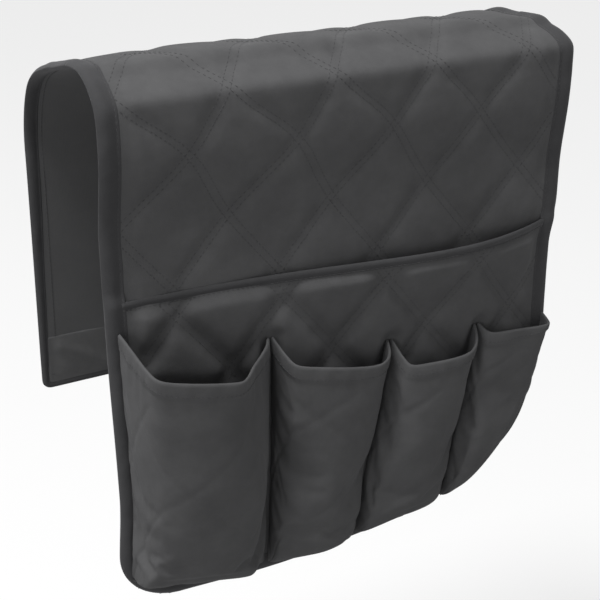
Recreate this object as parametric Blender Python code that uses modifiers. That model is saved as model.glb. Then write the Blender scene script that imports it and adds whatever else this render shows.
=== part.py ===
"""Sofa armrest organizer: a quilted saddle over an armrest, with a magazine pocket and four pouches.

Metres, +Z up. X runs along the armrest, the pockets face -Y, and the origin is the middle of the flat
underside, where the saddle rests. The cloth is laid out flat first, as a place across, a way along and a
height out of the cloth. drape() bends it over the armrest and adds how it sinks, leans and swings.
"""

from collections import namedtuple
from math import cos, pi, sin, sqrt

import bmesh
import bpy
import numpy as np
from mathutils import Vector

# Saddle, measured on the inner face of its lining
WIDTH = 0.330
FLAT_TOP = 0.030
FRONT_RADIUS = 0.028
BACK_RADIUS = 0.080
FRONT_DROP = 0.317
BACK_DROP = 0.173
FRONT_LEFT_CORNER = 0.035
FRONT_RIGHT_CORNER = 0.105
BACK_CORNER = 0.014
HEM_FACING = 0.040
CORNER_FACET = 0.024

# How the cloth hangs: sunk behind the flat top, leaning in below the front arc, swinging out at the back
SHOULDER_SAG = 0.005
SAG_START = 0.040
SAG_END = 0.060
FRONT_LEAN = 0.006
LEAN_START = 0.070
LEAN_REGAIN_SHARE = 0.6
BACK_SWING = 0.008

# Cloth thicknesses, and the clearance kept between plies that touch
PLY = 0.0007
WADDING = 0.0010
COVER = 0.0008
POUCH_WALL = 0.0012
SEAT = 0.0003

# Binding tape: how far it reaches in from an edge and from the pocket mouth
TAPE_REACH = 0.011
MOUTH_TAPE_REACH = 0.005
TAPE_RAMP = 0.008

# Quilting: a lattice of stitched diamonds
QUILT_ACROSS = 0.072
QUILT_ALONG = 0.085
QUILT_SHIFT = -0.0137
POCKET_QUILT_DROP = 0.0155
QUILT_PUFF = 0.002
PUFF_EDGE = 0.012

# Magazine pocket
POCKET_MOUTH = 0.1065
MOUTH_BULGE = 0.020
BULGE_DEPTH = 0.100
BULGE_LEAN_SHARE = 2.3

# Pouches: where each seam between them starts and ends across the width, as shares of WIDTH
SEAM_TOP_SHARES = (-0.485, -0.179, 0.091, 0.309, 0.485)
SEAM_FOOT_SHARES = (-0.485, -0.197, 0.009, 0.236, 0.470)
# How far down the pocket each seam starts and ends, as shares of its height
SEAM_START_SHARES = (0.090, 0.199, 0.299, 0.318, 0.345)
SEAM_END_SHARES = (0.945, 0.975, 0.975, 0.955, 0.660)
POUCH_INSET = 0.005
POUCH_FOOT = 0.0015
POUCH_CLOSING_SHARE = 0.90

# How far each pouch stands out at its mouth and at its foot
REMOTE_MOUTH_REACH = 0.056
REMOTE_FOOT_REACH = 0.024
PHONE_MOUTH_REACH = 0.024
PHONE_FOOT_REACH = 0.020
PEN_MOUTH_REACH = 0.019
PEN_FOOT_REACH = 0.014
GLASSES_MOUTH_REACH = 0.010
GLASSES_FOOT_REACH = 0.007

# How far the middle of a pouch's edge hangs below its ends
REMOTE_SAG = 0.008
PHONE_SAG = 0.010
PEN_SAG = 0.013
GLASSES_SAG = 0.005
GLASSES_FOOT_SAG = 0.014

# Counts, and the least gap between two rows as a share of the quilting's step
FLAT_TOP_STEPS = 3
FRONT_ARC_STEPS = 6
BACK_ARC_STEPS = 8
CORNER_LEAST_STEPS = 3
QUILT_STEPS = 4
LEAST_GAP_SHARE = 1 / 3
EDGE_COUNT = 2
POUCH_ROWS = 9
POUCH_CLOSING_ROWS = 3

FRONT, BACK = -1, 1
HALF_WIDTH = WIDTH / 2
HALF_FLAT = FLAT_TOP / 2
FRONT_ARC = FRONT_RADIUS * pi / 2
BACK_ARC = BACK_RADIUS * pi / 2

# Heights of the plies, out from the inner face
WADDING_LOW = PLY + SEAT
COVER_LOW = WADDING_LOW + WADDING + SEAT
SADDLE_TOP = COVER_LOW + COVER
POCKET_LINING_LOW = SADDLE_TOP + SEAT
POCKET_COVER_LOW = POCKET_LINING_LOW + PLY + SEAT
POCKET_TOP = POCKET_COVER_LOW + COVER
POUCH_SEAT = POCKET_TOP + SEAT + PLY + SEAT
FOLD_HEIGHT = SADDLE_TOP + QUILT_PUFF + SEAT

# Distances down from the middle of the flat top
FRONT_FOLD = HALF_FLAT + FRONT_ARC / 2
BACK_FOLD = HALF_FLAT + BACK_ARC / 2
FRONT_ARC_END = HALF_FLAT + FRONT_ARC
BACK_ARC_END = HALF_FLAT + BACK_ARC
FRONT_BOTTOM = FRONT_ARC_END + FRONT_DROP
BACK_BOTTOM = BACK_ARC_END + BACK_DROP
MOUTH = FRONT_ARC_END + POCKET_MOUTH
POCKET_HEIGHT = FRONT_BOTTOM - MOUTH
CORNER_START = FRONT_BOTTOM - FRONT_RIGHT_CORNER
POCKET_LINING_TOP = MOUTH + PLY + SEAT + MOUTH_TAPE_REACH + SEAT

Drop = namedtuple("Drop", "side fold arc_end bottom left_corner right_corner")
FRONT_PANEL = Drop(FRONT, FRONT_FOLD, FRONT_ARC_END, FRONT_BOTTOM, FRONT_LEFT_CORNER, FRONT_RIGHT_CORNER)
BACK_PANEL = Drop(BACK, BACK_FOLD, BACK_ARC_END, BACK_BOTTOM, BACK_CORNER, BACK_CORNER)

# A pouch's section: shares of its width and of how far it stands out
BOX_SECTION_SHARES = (
    (0, 0), (0, 0.35), (0, 0.70), (0.02, 0.93), (0.10, 1.0), (0.30, 1.02),
    (0.52, 1.0), (0.68, 0.94), (0.76, 0.80), (0.87, 0.42), (1, 0),
)
SOFT_SECTION_SHARES = (
    (0, 0), (0.02, 0.45), (0.10, 0.80), (0.27, 0.97), (0.50, 1.04),
    (0.72, 0.97), (0.86, 0.76), (0.96, 0.40), (1, 0),
)
Pouch = namedtuple("Pouch", "name mouth_reach foot_reach mouth_sag foot_sag section_shares")
POUCHES = (
    Pouch("remote_pouch", REMOTE_MOUTH_REACH, REMOTE_FOOT_REACH, REMOTE_SAG, 0, BOX_SECTION_SHARES),
    Pouch("phone_pouch", PHONE_MOUTH_REACH, PHONE_FOOT_REACH, PHONE_SAG, 0, SOFT_SECTION_SHARES),
    Pouch("pen_pouch", PEN_MOUTH_REACH, PEN_FOOT_REACH, PEN_SAG, 0, SOFT_SECTION_SHARES),
    Pouch(
        "glasses_pouch",
        GLASSES_MOUTH_REACH,
        GLASSES_FOOT_REACH,
        GLASSES_SAG,
        GLASSES_FOOT_SAG,
        SOFT_SECTION_SHARES,
    ),
)


def clear_scene():
    for obj in list(bpy.data.objects):
        bpy.data.objects.remove(obj, do_unlink=True)


def cloth_material(name, colour, roughness):
    material = bpy.data.materials.new(name)
    material.use_nodes = True
    shader = material.node_tree.nodes["Principled BSDF"]
    shader.inputs["Base Color"].default_value = (*colour, 1)
    shader.inputs["Roughness"].default_value = roughness
    shader.inputs["Metallic"].default_value = 0
    return material


def collection_for_parts():
    parts = bpy.data.collections.new("sofa_armrest_organizer")
    bpy.context.scene.collection.children.link(parts)
    return parts


def fade(distance, length):
    """0 at no distance, rising to 1 over a length."""
    return min(max(distance / length, 0), 1)


def ease(distance, length):
    """The same rise, with a smooth start and end."""
    share = fade(distance, length)
    return share * share * (3 - 2 * share)


def hang(along):
    """How far the cloth stands off the plain bend: minus where it is sunk or leans in."""
    if along > 0:
        regain = 1 - LEAN_REGAIN_SHARE * ease(along - MOUTH, CORNER_START - MOUTH)
        return -FRONT_LEAN * ease(along - FRONT_ARC_END, LEAN_START) * regain
    down = -along
    behind_top = ease(down - HALF_FLAT, SAG_START) * ease(BACK_ARC_END - down, SAG_END)
    return BACK_SWING * fade(down - BACK_ARC_END, BACK_DROP) - SHOULDER_SAG * behind_top


def drape(across, along, out):
    """A flat cloth's point in space. Along is measured from the middle of the top, minus to the back."""
    return bend(across, along, out + hang(along))


def bend(across, along, out):
    """The plain bend over the armrest: a flat top, an arc on each side and straight drops."""
    side = FRONT if along > 0 else BACK
    radius = FRONT_RADIUS if along > 0 else BACK_RADIUS
    past_flat = abs(along) - HALF_FLAT
    if past_flat <= 0:
        return Vector((across, -along, out))
    turn = min(past_flat / radius, pi / 2)
    straight = max(past_flat - radius * pi / 2, 0)
    y = side * (HALF_FLAT + (radius + out) * sin(turn))
    z = (radius + out) * cos(turn) - radius - straight
    return Vector((across, y, z))


def quilt_puff(across, along, lattice_drop=0):
    """Height of the quilting's puff, nothing on its stitched lines."""
    x = (across - QUILT_SHIFT) / QUILT_ACROSS
    y = (along - FRONT_FOLD - lattice_drop) / QUILT_ALONG
    return QUILT_PUFF * sqrt(abs(sin(pi * (x + y)) * sin(pi * (x - y))))


def pocket_bulge(across, down):
    """How far the magazine pocket stands off the panel behind it."""
    share = min(max((across + HALF_WIDTH - TAPE_REACH) / (WIDTH - 2 * TAPE_REACH), 0), 1)
    depth_share = fade(down - MOUTH, BULGE_DEPTH)
    return MOUTH_BULGE * sin(pi * share**BULGE_LEAN_SHARE) * (1 - depth_share) ** 2


def spaced(values, least):
    """The values in order, without those closer than least to the one before. The last one stays."""
    ordered = sorted(values)
    kept = [ordered[0]]
    for value in ordered[1:]:
        if value - kept[-1] >= least:
            kept.append(value)
    kept[-1] = ordered[-1]
    return kept


def steps(start, end, count):
    return [start + (end - start) * k / count for k in range(count + 1)]


def quilt_columns():
    """Places across the width that follow the quilting, with one at each inner edge of the binding."""
    pitch = QUILT_ACROSS / QUILT_STEPS
    inner = HALF_WIDTH - TAPE_REACH - SEAT
    count = int(WIDTH / pitch)
    lattice = [QUILT_SHIFT + pitch * k for k in range(-count, count + 1)]
    between = [x for x in lattice if abs(x) < inner - pitch * LEAST_GAP_SHARE]
    return [-HALF_WIDTH, -inner, *between, inner, HALF_WIDTH]


def quilt_rows(start, end, lattice_drop=0):
    """Places along the cloth that follow the quilting, strictly between start and end."""
    pitch = QUILT_ALONG / QUILT_STEPS
    least = pitch * LEAST_GAP_SHARE
    count = int((FRONT_BOTTOM + BACK_BOTTOM) / pitch)
    lattice = [FRONT_FOLD + lattice_drop + pitch * k for k in range(-count, count + 1)]
    return [y for y in lattice if start + least < y < end - least]


def corner_angles(radius):
    return steps(0, pi / 2, max(CORNER_LEAST_STEPS, round(radius * pi / 2 / CORNER_FACET)))


def corner(drop, radius, inset):
    """(down, reach from the middle line) of a bottom corner's points, for an outline set in by inset."""
    angles = corner_angles(radius)
    downs = [drop.bottom - radius + (radius - inset) * sin(angle) for angle in angles]
    reaches = [HALF_WIDTH - radius + (radius - inset) * cos(angle) for angle in angles]
    return downs, reaches


def sides(drop, down, inset):
    """The left and right edge of a drop's outline, set in by inset, at a distance down."""
    left = np.interp(down, *corner(drop, drop.left_corner, inset))
    right = np.interp(down, *corner(drop, drop.right_corner, inset))
    return -float(left), float(right)


def corner_rows(drop, inset):
    return [
        down
        for radius in (drop.left_corner, drop.right_corner)
        for down in corner(drop, radius, inset)[0]
    ]


def arc_rows(drop):
    """Rows from the fold, at the middle of the arc, to the end of the arc."""
    count = FRONT_ARC_STEPS if drop.side == FRONT else BACK_ARC_STEPS
    return steps(drop.fold + SEAT / 2, drop.arc_end, count // 2)


def finish_mesh(name, mesh_builder, material, body, parts):
    bmesh.ops.recalc_face_normals(mesh_builder, faces=mesh_builder.faces)
    return object_from(name, mesh_builder, material, body, parts)


def object_from(name, mesh_builder, material, body, parts):
    mesh = bpy.data.meshes.new(name)
    mesh_builder.to_mesh(mesh)
    mesh_builder.free()
    mesh.materials.append(material)
    obj = bpy.data.objects.new(name, mesh)
    parts.objects.link(obj)
    if body is not None:
        obj.parent = body
        obj.matrix_parent_inverse = body.matrix_world.inverted()
    return obj


def grid(columns, rows):
    """A grid of that many points each way. Each vertex comes with its column and row number."""
    builder = bmesh.new()
    bmesh.ops.create_grid(builder, x_segments=columns - 1, y_segments=rows - 1, size=1)
    numbered = [
        (vertex, round((vertex.co.x + 1) / 2 * (columns - 1)), round((vertex.co.y + 1) / 2 * (rows - 1)))
        for vertex in builder.verts
    ]
    return builder, numbered


def slab(name, columns, rows, place, material, body, parts):
    """A thick cloth. place(column, row, upper) gives each point of its lower and upper face."""
    builder, numbered = grid(columns, rows)
    extruded = bmesh.ops.extrude_face_region(builder, geom=builder.faces[:])
    upper = [item for item in extruded["geom"] if isinstance(item, bmesh.types.BMVert)]
    by_place = {tuple(vertex.co): (column, row) for vertex, column, row in numbered}
    for vertex in upper:
        vertex.co = place(*by_place[tuple(vertex.co)], True)
    for vertex, column, row in numbered:
        vertex.co = place(column, row, False)
    return finish_mesh(name, builder, material, body, parts)


def thin_sheet(name, columns, rows, place, thickness, material, body, parts):
    """A folded tape or a pouch: a sheet of even thickness, built out from its inner face."""
    builder, numbered = grid(columns, rows)
    for vertex, column, row in numbered:
        vertex.co = place(column, row)
    obj = object_from(name, builder, material, body, parts)
    solidify = obj.modifiers.new("thickness", "SOLIDIFY")
    solidify.thickness = thickness
    solidify.offset = -1
    solidify.use_even_offset = True
    return obj


def fold_empty(name, along, parts):
    """The axis that a drop swings on: on the outer face of the cloth, along the middle of the arc."""
    axis = bpy.data.objects.new(name, None)
    axis.location = bend(0, along, FOLD_HEIGHT)
    parts.objects.link(axis)
    bpy.context.view_layer.update()
    return axis


def top_rows():
    """Rows of the top, from the back fold to the front fold."""
    back_arc = steps(-(BACK_FOLD - SEAT / 2), -HALF_FLAT, BACK_ARC_STEPS // 2)
    flat = steps(-HALF_FLAT, HALF_FLAT, FLAT_TOP_STEPS)
    front_arc = steps(HALF_FLAT, FRONT_FOLD - SEAT / 2, FRONT_ARC_STEPS // 2)
    return back_arc + flat[1:-1] + front_arc


def build_top(cloths, parts):
    rows = top_rows()
    columns = quilt_columns()
    inner = HALF_WIDTH - TAPE_REACH - SEAT

    def cover(column, row, upper):
        across = columns[column]
        puff = quilt_puff(across, rows[row]) * fade(inner - abs(across), PUFF_EDGE)
        return drape(across, rows[row], SADDLE_TOP + puff if upper else COVER_LOW)

    def ply(half_width, low, high):
        def place(column, row, upper):
            return drape((2 * column - 1) * half_width, rows[row], high if upper else low)

        return place

    slab("top_cover", len(columns), len(rows), cover, cloths["cover"], None, parts)
    wadding = ply(HALF_WIDTH, WADDING_LOW, WADDING_LOW + WADDING)
    slab("top_wadding", EDGE_COUNT, len(rows), wadding, cloths["wadding"], None, parts)
    slab("top_lining", EDGE_COUNT, len(rows), ply(inner, 0, PLY), cloths["lining"], None, parts)

    section = tape_section(SADDLE_TOP + SEAT)
    for name, sign in (("top_left_binding", -1), ("top_right_binding", 1)):

        def tape(column, row):
            inset, out = section[column] if sign > 0 else section[-1 - column]
            return drape(sign * (HALF_WIDTH - inset), rows[row], out)

        thin_sheet(name, len(section), len(rows), tape, PLY, cloths["binding"], None, parts)


def tape_section(outer_height):
    """(inset, height) of a folded tape's inner face, from its outer leg to its inner leg."""
    return (
        (TAPE_REACH, outer_height),
        (-SEAT, outer_height),
        (-SEAT, PLY),
        (TAPE_REACH, PLY),
    )


def build_drop_plies(prefix, drop, lining_end, between_rows, puff_fade, body, cloths, parts):
    """The cover, wadding and lining of a drop, each cut to the drop's outline, with rows that agree."""
    inset = TAPE_REACH + SEAT
    shares = [(x + HALF_WIDTH) / WIDTH for x in quilt_columns()]
    straight_rows = arc_rows(drop) + between_rows
    rows = spaced(straight_rows + corner_rows(drop, 0), PLY)
    lined_rows = [down for down in straight_rows + corner_rows(drop, inset) if down < lining_end]
    lining_rows = spaced(lined_rows + [lining_end], PLY)

    def across_at(down, share, set_in):
        left, right = sides(drop, down, set_in)
        return left + (right - left) * share

    def cover(column, row, upper):
        down = rows[row]
        across = across_at(down, shares[column], 0)
        if not upper:
            return drape(across, -drop.side * down, COVER_LOW)
        left, right = sides(drop, down, inset)
        edge = min(across - left, right - across, drop.bottom - inset - down)
        puff = quilt_puff(across, -drop.side * down) * fade(edge, PUFF_EDGE) * puff_fade(down)
        return drape(across, -drop.side * down, SADDLE_TOP + puff)

    def wadding(column, row, upper):
        down = rows[row]
        out = WADDING_LOW + WADDING if upper else WADDING_LOW
        return drape(across_at(down, column, 0), -drop.side * down, out)

    def lining(column, row, upper):
        down = lining_rows[row]
        return drape(across_at(down, column, inset), -drop.side * down, PLY if upper else 0)

    slab(prefix + "_cover", len(shares), len(rows), cover, cloths["cover"], body, parts)
    slab(prefix + "_wadding", EDGE_COUNT, len(rows), wadding, cloths["wadding"], body, parts)
    slab(prefix + "_lining", EDGE_COUNT, len(lining_rows), lining, cloths["lining"], body, parts)


def build_edge_binding(name, drop, straight_levels, body, cloths, parts):
    """The tape down the left edge, round the bottom and up the right edge.

    straight_levels lists (down, height of what the outer leg lies on) along the straight sides."""
    stations = []
    for sign, radius in ((-1, drop.left_corner), (1, drop.right_corner)):
        straight = [
            (Vector((sign * (HALF_WIDTH - radius), down)), Vector((sign, 0)), radius, level)
            for down, level in straight_levels
            if down < drop.bottom - radius - PLY
        ]
        turn = [
            (
                Vector((sign * (HALF_WIDTH - radius), drop.bottom - radius)),
                Vector((sign * cos(angle), sin(angle))),
                radius,
                straight_levels[-1][1],
            )
            for angle in corner_angles(radius)
        ]
        run = straight + turn
        stations += run if sign < 0 else reversed(run)

    def place(column, row):
        anchor, outward, reach, level = stations[row]
        section = tape_section(level + SEAT)
        inset, out = section[-1 - column] if drop.side == FRONT else section[column]
        across, down = anchor + outward * (reach - inset)
        return drape(across, -drop.side * down, out)

    legs = len(tape_section(0))
    thin_sheet(name, legs, len(stations), place, PLY, cloths["binding"], body, parts)


def pocket_rows():
    """Rows of the magazine pocket between its mouth's tape and the rounded corner."""
    return quilt_rows(POCKET_LINING_TOP, CORNER_START, POCKET_QUILT_DROP)


def build_magazine_pocket(body, cloths, parts):
    drop = FRONT_PANEL
    columns = quilt_columns()
    shares = [(x + HALF_WIDTH) / WIDTH for x in columns]
    lining_top = POCKET_LINING_TOP
    tape_end = lining_top - SEAT
    top = tape_end - MOUTH_TAPE_REACH
    rows = spaced([top, lining_top, *pocket_rows(), *corner_rows(drop, 0)], PLY)
    lining_rows = rows[1:]
    inner = HALF_WIDTH - TAPE_REACH - SEAT

    def across_at(down, share):
        left, right = sides(drop, down, 0)
        return left + (right - left) * share

    def cover(column, row, upper):
        down = rows[row]
        across = across_at(down, shares[column])
        height = POCKET_COVER_LOW + pocket_bulge(across, down)
        if upper:
            above_pouches = pouch_line(across) - PUFF_EDGE - down
            edge = min(inner - abs(across), above_pouches, down - lining_top)
            height += COVER + quilt_puff(across, down, POCKET_QUILT_DROP) * fade(edge, PUFF_EDGE)
        return drape(across, down, height)

    def lining(column, row, upper):
        down = lining_rows[row]
        across = across_at(down, shares[column])
        height = POCKET_LINING_LOW + pocket_bulge(across, down)
        return drape(across, down, height + PLY if upper else height)

    slab("magazine_pocket_cover", len(columns), len(rows), cover, cloths["cover"], body, parts)
    slab("magazine_pocket_lining", len(columns), len(lining_rows), lining, cloths["lining"], body, parts)

    section = (
        (tape_end, POCKET_LINING_LOW + PLY),
        (MOUTH + PLY, POCKET_LINING_LOW + PLY),
        (MOUTH + PLY, POCKET_TOP + SEAT),
        (tape_end, POCKET_TOP + SEAT),
    )
    tape_columns = [x for x in columns if abs(x) <= inner]

    def tape(column, row):
        down, out = section[row]
        across = tape_columns[column]
        return drape(across, down, out + pocket_bulge(across, down))

    thin_sheet(
        "magazine_pocket_binding",
        len(tape_columns),
        len(section),
        tape,
        PLY,
        cloths["binding"],
        body,
        parts,
    )


def seam_point(number, share):
    """(across, down) of the seam on the left of a pouch, or on the right of the last one."""
    across = WIDTH * (
        SEAM_TOP_SHARES[number] + (SEAM_FOOT_SHARES[number] - SEAM_TOP_SHARES[number]) * share
    )
    start, end = SEAM_START_SHARES[number], SEAM_END_SHARES[number]
    down = MOUTH + POCKET_HEIGHT * (start + (end - start) * share)
    left, right = sides(FRONT_PANEL, down, POUCH_INSET)
    return min(max(across, left), right), down


def pouch_line(across):
    """How far down the tops of the pouches lie, at a place across."""
    tops = [seam_point(number, 0) for number in range(len(SEAM_TOP_SHARES))]
    return float(np.interp(across, *zip(*tops)))


def build_pouch(number, pouch, body, cloths, parts):
    closing = steps(POUCH_CLOSING_SHARE, 1, POUCH_CLOSING_ROWS)
    levels = steps(0, POUCH_CLOSING_SHARE, POUCH_ROWS - len(closing)) + closing[1:]
    wall_inset = POUCH_WALL + SEAT

    def place(column, row):
        width_share, reach_share = pouch.section_shares[column]
        level = levels[row]
        left, left_down = seam_point(number, level)
        right, right_down = seam_point(number + 1, level)
        left += wall_inset
        right -= wall_inset
        across = left + (right - left) * width_share
        bow = 4 * width_share * (1 - width_share)
        sag = bow * (pouch.mouth_sag * (1 - level) + pouch.foot_sag * level)
        down = left_down + (right_down - left_down) * width_share + sag
        closed = max((level - POUCH_CLOSING_SHARE) / (1 - POUCH_CLOSING_SHARE), 0)
        reach = pouch.mouth_reach + (pouch.foot_reach - pouch.mouth_reach) * level
        reach = max(reach * sqrt(1 - closed**2), POUCH_FOOT)
        return drape(across, down, POUCH_SEAT + pocket_bulge(across, down) + reach * reach_share)

    thin_sheet(
        pouch.name, len(pouch.section_shares), len(levels), place, POUCH_WALL, cloths["pouch"], body, parts
    )


def build_front(cloths, parts):
    body = fold_empty("front_fold", FRONT_FOLD, parts)
    quilted_end = MOUTH - PUFF_EDGE / 2

    def puff_fade(down):
        return fade(quilted_end - down, PUFF_EDGE)

    quilted_rows = quilt_rows(FRONT_ARC_END, quilted_end)
    between_rows = quilted_rows + [quilted_end] + pocket_rows()
    build_drop_plies(
        "front", FRONT_PANEL, FRONT_BOTTOM - TAPE_REACH - SEAT, between_rows, puff_fade, body, cloths, parts
    )
    bare_rows = [down for down in arc_rows(FRONT_PANEL) + quilted_rows if down < MOUTH - TAPE_RAMP - SEAT]
    levels = [(down, SADDLE_TOP) for down in bare_rows]
    levels += [(MOUTH - TAPE_RAMP, SADDLE_TOP), (MOUTH - SEAT, POCKET_TOP)]
    levels += [(down, POCKET_TOP) for down in pocket_rows() + [CORNER_START]]
    build_edge_binding("front_edge_binding", FRONT_PANEL, levels, body, cloths, parts)
    build_magazine_pocket(body, cloths, parts)
    for number, pouch in enumerate(POUCHES):
        build_pouch(number, pouch, body, cloths, parts)


def build_back(cloths, parts):
    body = fold_empty("back_fold", -BACK_FOLD, parts)
    drop = BACK_PANEL
    lining_end = BACK_BOTTOM - HEM_FACING
    rows = [-y for y in quilt_rows(-(BACK_BOTTOM - TAPE_REACH - SEAT), -BACK_ARC_END)]
    rows.append(BACK_BOTTOM - TAPE_REACH - SEAT)
    build_drop_plies("back", drop, lining_end, rows, lambda down: 1, body, cloths, parts)
    levels = [(down, SADDLE_TOP) for down in arc_rows(drop)]
    build_edge_binding("back_edge_binding", drop, levels, body, cloths, parts)

    inset = TAPE_REACH + SEAT
    start = lining_end + SEAT
    facing_rows = spaced([start] + [down for down in corner_rows(drop, inset) if down > start], PLY)

    def facing(column, row, upper):
        down = facing_rows[row]
        edges = sides(drop, down, inset)
        return drape(edges[column], -drop.side * down, PLY if upper else 0)

    slab("back_hem_facing", EDGE_COUNT, len(facing_rows), facing, cloths["cover"], body, parts)


def build():
    clear_scene()
    parts = collection_for_parts()
    cloths = {
        "cover": cloth_material("quilted_cover", (0.062, 0.062, 0.064), 0.92),
        "pouch": cloth_material("pouch_cloth", (0.058, 0.058, 0.060), 0.92),
        "lining": cloth_material("lining", (0.036, 0.036, 0.038), 0.88),
        "binding": cloth_material("binding_tape", (0.030, 0.030, 0.032), 0.80),
        "wadding": cloth_material("wadding", (0.70, 0.70, 0.68), 0.95),
    }
    build_top(cloths, parts)
    build_front(cloths, parts)
    build_back(cloths, parts)


build()
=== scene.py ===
"""Looks of the sofa armrest organizer: a quilted saddle, its bindings, a magazine pocket and four pouches.

Every cloth is made flat first, as points (across, along, out) in metres, and drape() bends it over the
armrest. Across is the row's X. Along is measured on the lining from the middle of the top, plus down the
front and minus down the back. Out is the height above the lining's inner face.
"""

from collections import namedtuple
from math import pi, radians, tan

import bpy
import numpy as np
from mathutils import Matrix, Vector
from mathutils.bvhtree import BVHTree


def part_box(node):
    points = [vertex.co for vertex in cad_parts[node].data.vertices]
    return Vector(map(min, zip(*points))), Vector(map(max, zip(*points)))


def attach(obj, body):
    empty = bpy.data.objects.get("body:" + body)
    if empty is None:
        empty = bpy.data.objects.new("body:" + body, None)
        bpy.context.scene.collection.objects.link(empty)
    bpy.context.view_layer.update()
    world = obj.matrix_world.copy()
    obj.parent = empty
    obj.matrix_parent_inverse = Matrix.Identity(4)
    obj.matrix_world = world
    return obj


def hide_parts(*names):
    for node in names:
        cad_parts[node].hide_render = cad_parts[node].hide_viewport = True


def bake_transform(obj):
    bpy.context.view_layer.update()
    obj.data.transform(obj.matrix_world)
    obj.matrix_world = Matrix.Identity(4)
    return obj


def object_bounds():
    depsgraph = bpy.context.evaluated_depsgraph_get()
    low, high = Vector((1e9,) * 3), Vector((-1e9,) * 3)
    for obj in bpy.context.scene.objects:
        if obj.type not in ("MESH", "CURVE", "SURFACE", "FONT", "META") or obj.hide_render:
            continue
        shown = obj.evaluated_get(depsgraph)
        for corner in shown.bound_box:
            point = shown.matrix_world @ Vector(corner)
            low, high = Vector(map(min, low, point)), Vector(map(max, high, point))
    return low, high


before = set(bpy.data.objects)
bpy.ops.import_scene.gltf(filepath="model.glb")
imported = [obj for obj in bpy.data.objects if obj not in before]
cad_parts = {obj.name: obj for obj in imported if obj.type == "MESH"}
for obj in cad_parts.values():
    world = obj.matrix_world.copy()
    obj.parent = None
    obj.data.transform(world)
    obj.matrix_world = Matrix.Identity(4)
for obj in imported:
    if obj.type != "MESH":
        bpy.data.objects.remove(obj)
cad_low, cad_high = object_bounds()

MM = 0.001

# Camera, fitted to straight lines of the object in the picture
CAMERA_PLACE = (-0.387, -0.671, 0.159)
CAMERA_AZIMUTH = 29.15
CAMERA_PITCH = 23.66
LENS_MM = 73.87
CAMERA_NEAR = 10 * MM

# Sizes that the frame's boxes give
HALF_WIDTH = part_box("top_wadding")[1].x
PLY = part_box("top_lining")[1].z

# Sizes that the CAD source names
FLAT_TOP = 30 * MM
FRONT_RADIUS = 28 * MM
BACK_RADIUS = 80 * MM
HEM_FACING = 40 * MM
SADDLE_TOP = 3.1 * MM
POCKET_LINING_LOW = 3.4 * MM
POCKET_TOP = 5.2 * MM
WADDING_LOW = 1.0 * MM
WADDING = 1.0 * MM
TAPE_REACH = 11 * MM
MOUTH_TAPE_REACH = 5 * MM
QUILT_ACROSS = 72 * MM
QUILT_ALONG = 85 * MM
QUILT_SHIFT = -13.7 * MM
POCKET_QUILT_DROP = 15.5 * MM
MOUTH_BULGE = 20 * MM
BULGE_DEPTH = 100 * MM
BULGE_LEAN = 2.3

HALF_FLAT = FLAT_TOP / 2
FRONT_ARC_END = HALF_FLAT + FRONT_RADIUS * pi / 2
BACK_ARC_END = HALF_FLAT + BACK_RADIUS * pi / 2
FRONT_FOLD = HALF_FLAT + FRONT_RADIUS * pi / 4
FRONT_BOTTOM = FRONT_ARC_END - FRONT_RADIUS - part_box("front_wadding")[0].z
BACK_BOTTOM = BACK_ARC_END - BACK_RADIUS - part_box("back_wadding")[0].z
BACK_DROP = BACK_BOTTOM - BACK_ARC_END
MOUTH = FRONT_ARC_END - FRONT_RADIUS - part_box("magazine_pocket_binding")[1].z
POCKET_HEIGHT = FRONT_BOTTOM - MOUTH

# Corners as the picture shows them: the front's are a little rounder than the solid's, the back's tighter
FRONT_LEFT_CORNER = 38 * MM
FRONT_RIGHT_CORNER = 134 * MM
BACK_CORNER = 6 * MM

# Where along the cloth something acts: its start, the length it rises over, its end and its fall
Window = namedtuple("Window", "start rise end fall")

# How far the cloth sinks behind the top, at its middle and at its two ends
MIDDLE_SAG, MIDDLE_SAGS = 6.5 * MM, Window(-130 * MM, 60 * MM, 20 * MM, 70 * MM)
LEFT_SAG, LEFT_SAGS = 7.0 * MM, Window(-90 * MM, 50 * MM, 10 * MM, 40 * MM)
RIGHT_SAG, RIGHT_SAGS = 2.5 * MM, Window(-30 * MM, 30 * MM, 40 * MM, 30 * MM)
RIGHT_SAG_LESS = 1.5 * MM
END_REACH = 75 * MM

# How the front shoulder slopes down to a tight fold, and how much less it does at the left edge
FOLD_SLOPE = radians(28)
FOLD_ROUNDING = 2.0 * MM
FOLD_START = 0.5
LEFT_FOLD_LESS, LEFT_FOLD_REACH = 0.85, 30 * MM

# How the front leans in below its arc and comes back by a share, and how the back dips and swings out
FRONT_LEAN, RIGHT_LEAN_LESS, LEAN_START, LEAN_LENGTH = 6.5 * MM, 2.0 * MM, 10 * MM, 62 * MM
REGAINED_SHARE, REGAIN_START, REGAIN_LENGTH = 0.6, 20 * MM, 120 * MM
BACK_SWING, BACK_DIP, BACK_DIP_LENGTH = 10.5 * MM, 1.0 * MM, 60 * MM
UNEVEN = ((0.7 * MM, 95 * MM, 3), (0.2 * MM, 41 * MM, 4))

# Where the cloth is drawn out: at the right above the pocket, at the front's lower left, and down each drop
FLARES = Window(15 * MM, 30 * MM, MOUTH + 20 * MM, 35 * MM)
FLARE_OUT, FLARE_WIDE, FLARE_REACH = 2.5 * MM, 3.0 * MM, 110 * MM
LEFT_WIDE, LEFT_WIDE_REACH, LEFT_WIDE_HEIGHT = 3.5 * MM, 60 * MM, 80 * MM
POUCH_PULL, PULL_CENTRE, PULL_REACH = 6 * MM, -55 * MM, 70 * MM
BACK_PULL = 2 * MM

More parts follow.
